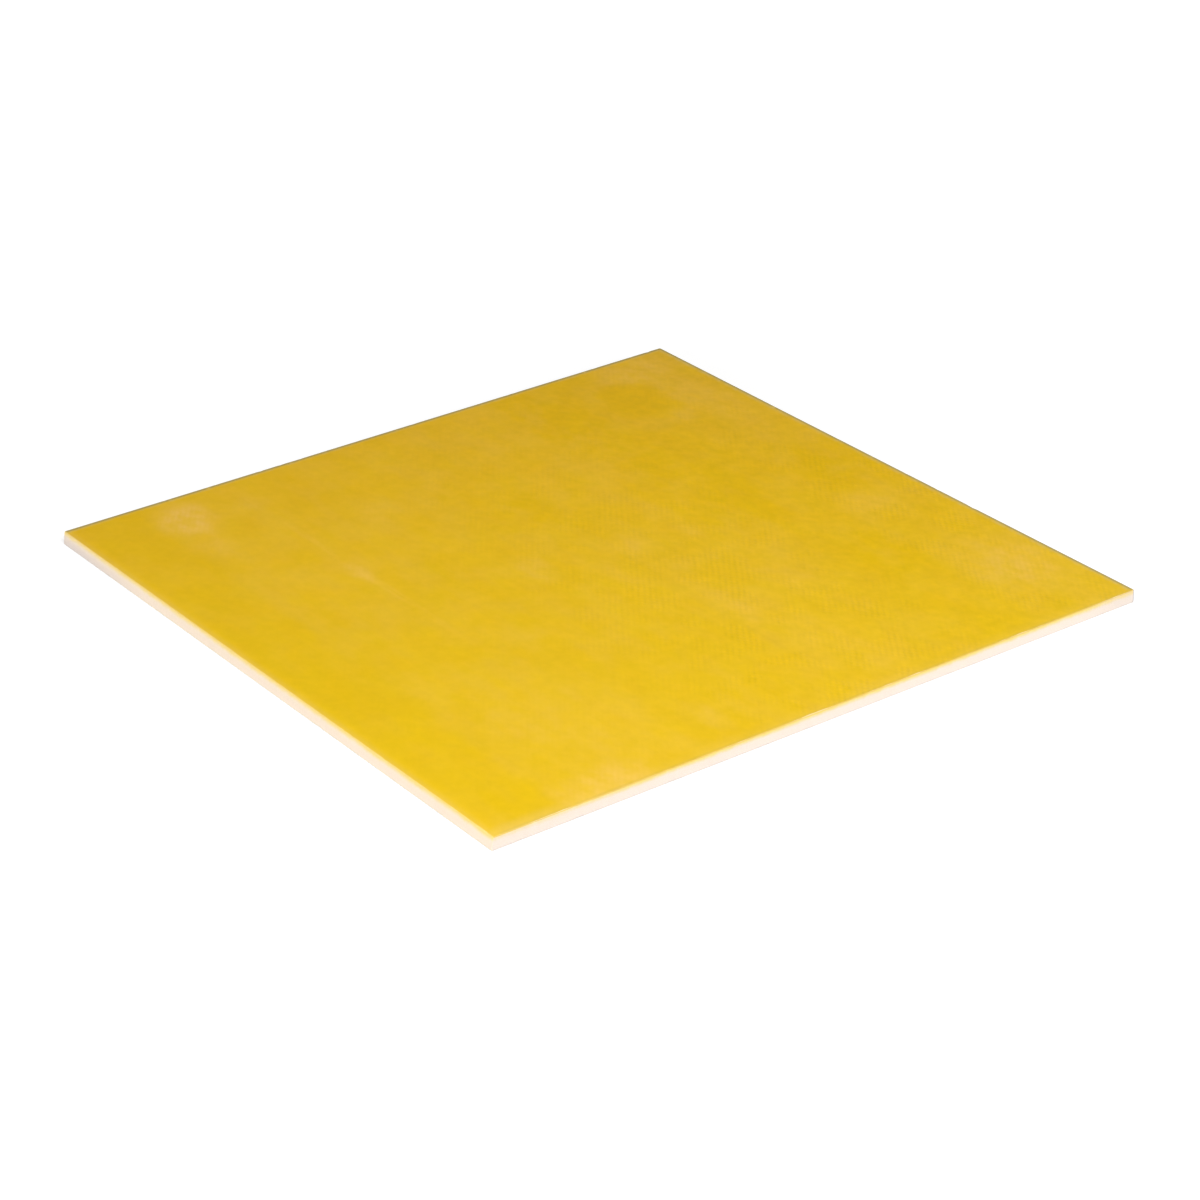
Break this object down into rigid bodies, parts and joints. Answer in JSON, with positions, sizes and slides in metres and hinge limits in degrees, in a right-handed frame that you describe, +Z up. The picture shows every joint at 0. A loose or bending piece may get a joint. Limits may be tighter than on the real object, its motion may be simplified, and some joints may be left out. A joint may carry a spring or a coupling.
{
  "type": "fiberglass epoxy sheet",
  "caption": "Flat square sheet of yellow woven-glass epoxy laminate with sawn cream edges, stock for insulating plates, spacers and boards.",
  "frame": {"origin": "middle of the underside, on the surface that the sheet lies on", "axes": "+Z up through the thickness, +X across the warp, +Y along the warp"},
  "size_m": [0.125, 0.125, 0.0022],
  "materials": {
    "laminate": "golden yellow translucent epoxy over a fine plain glass weave, satin gloss on both faces, matt cream on the sawn edges"
  },
  "bodies": {
    "root": {"laminate_sheet": "laminate"}
  },
  "joints": []
}
